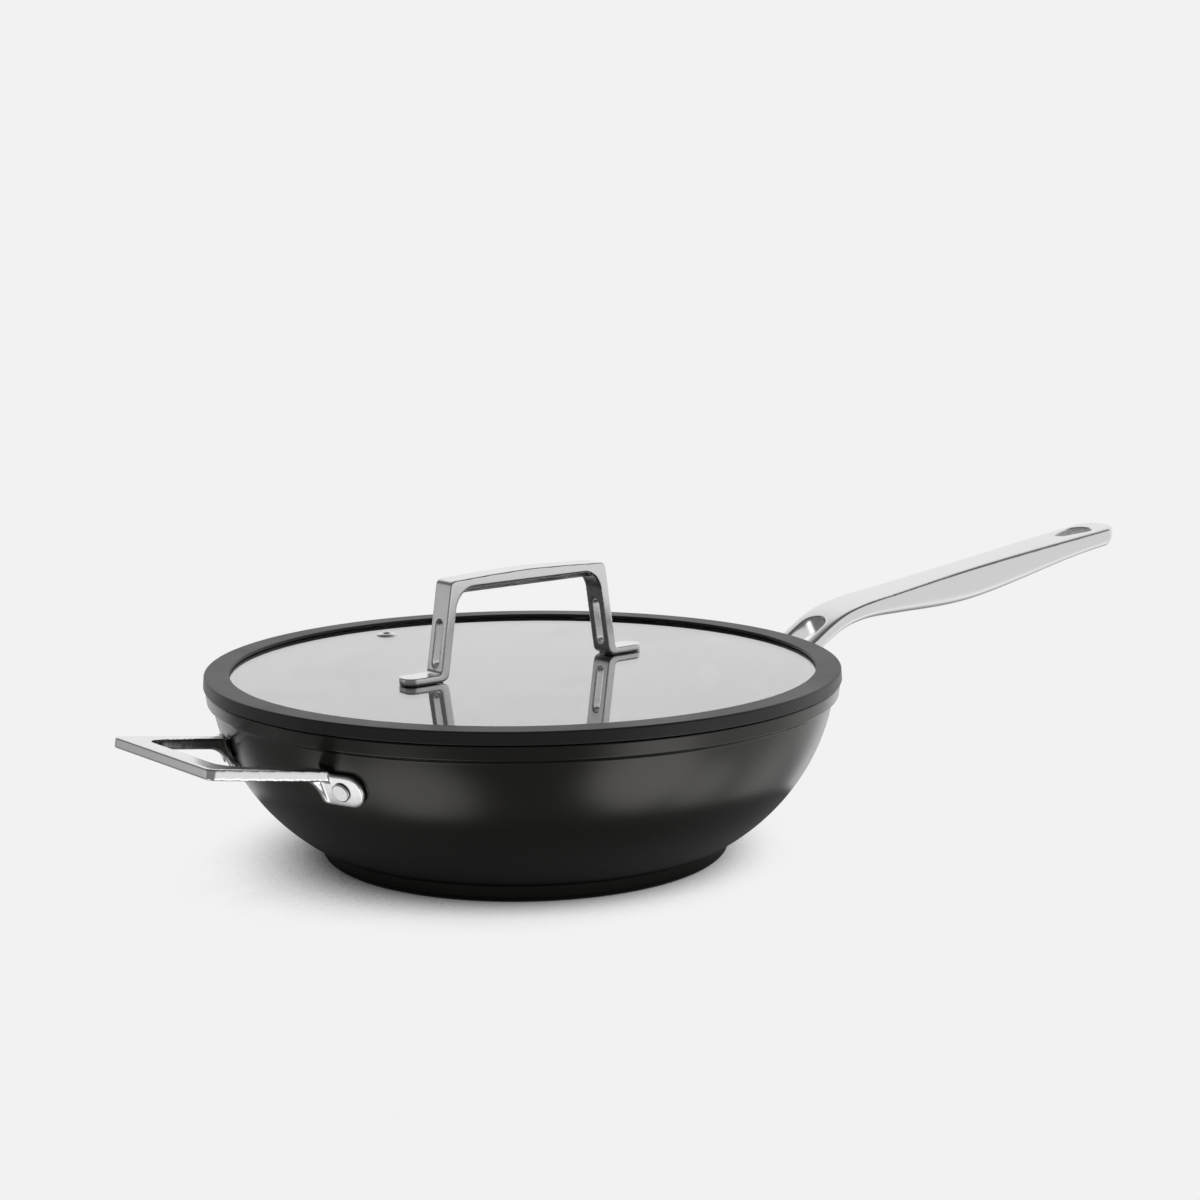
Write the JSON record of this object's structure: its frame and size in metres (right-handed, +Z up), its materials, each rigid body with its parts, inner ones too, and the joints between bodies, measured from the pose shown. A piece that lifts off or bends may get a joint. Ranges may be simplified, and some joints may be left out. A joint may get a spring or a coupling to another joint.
{
  "type": "wok with lid",
  "caption": "Round-sided wok with a flat base, a cast long handle with a fork at its root, a small loop helper handle, and a flat glass lid with a soft rim and a bridge handle.",
  "frame": {"origin": "centre of the base plate's underside, on the bowl's axis", "axes": "+Z up along the bowl's axis, +X along the long handle, helper handle on -X"},
  "size_m": [0.5975, 0.2868, 0.1287],
  "materials": {
    "dark_coated_aluminium": "satin dark coating",
    "base_steel": "turned",
    "cast_steel": "satin",
    "rivet_steel": "satin",
    "rim_silicone": "matte",
    "lid_glass": "clear"
  },
  "bodies": {
    "wok": {"wok_body": "dark_coated_aluminium", "induction_base_plate": "base_steel", "long_handle": "cast_steel", "long_handle_rivet_near": "rivet_steel", "long_handle_rivet_far": "rivet_steel", "helper_handle": "cast_steel", "helper_rivet_near": "rivet_steel", "helper_rivet_far": "rivet_steel"},
    "lid": {"lid_glass": "lid_glass", "lid_rim": "rim_silicone", "steam_vent": "rivet_steel", "lid_handle": "cast_steel", "lid_handle_gasket_left": "rim_silicone", "lid_handle_gasket_right": "rim_silicone", "lid_handle_seal_left": "rim_silicone", "lid_handle_seal_right": "rim_silicone", "lid_handle_washer_left": "rivet_steel", "lid_handle_washer_right": "rivet_steel", "lid_handle_screw_left": "rivet_steel", "lid_handle_screw_right": "rivet_steel"}
  },
  "joints": [
    {"name": "lid_lift", "type": "slide", "parent": "wok", "child": "lid", "axis": [0, 0, 1], "range_m": [0, 0.15]}
  ]
}
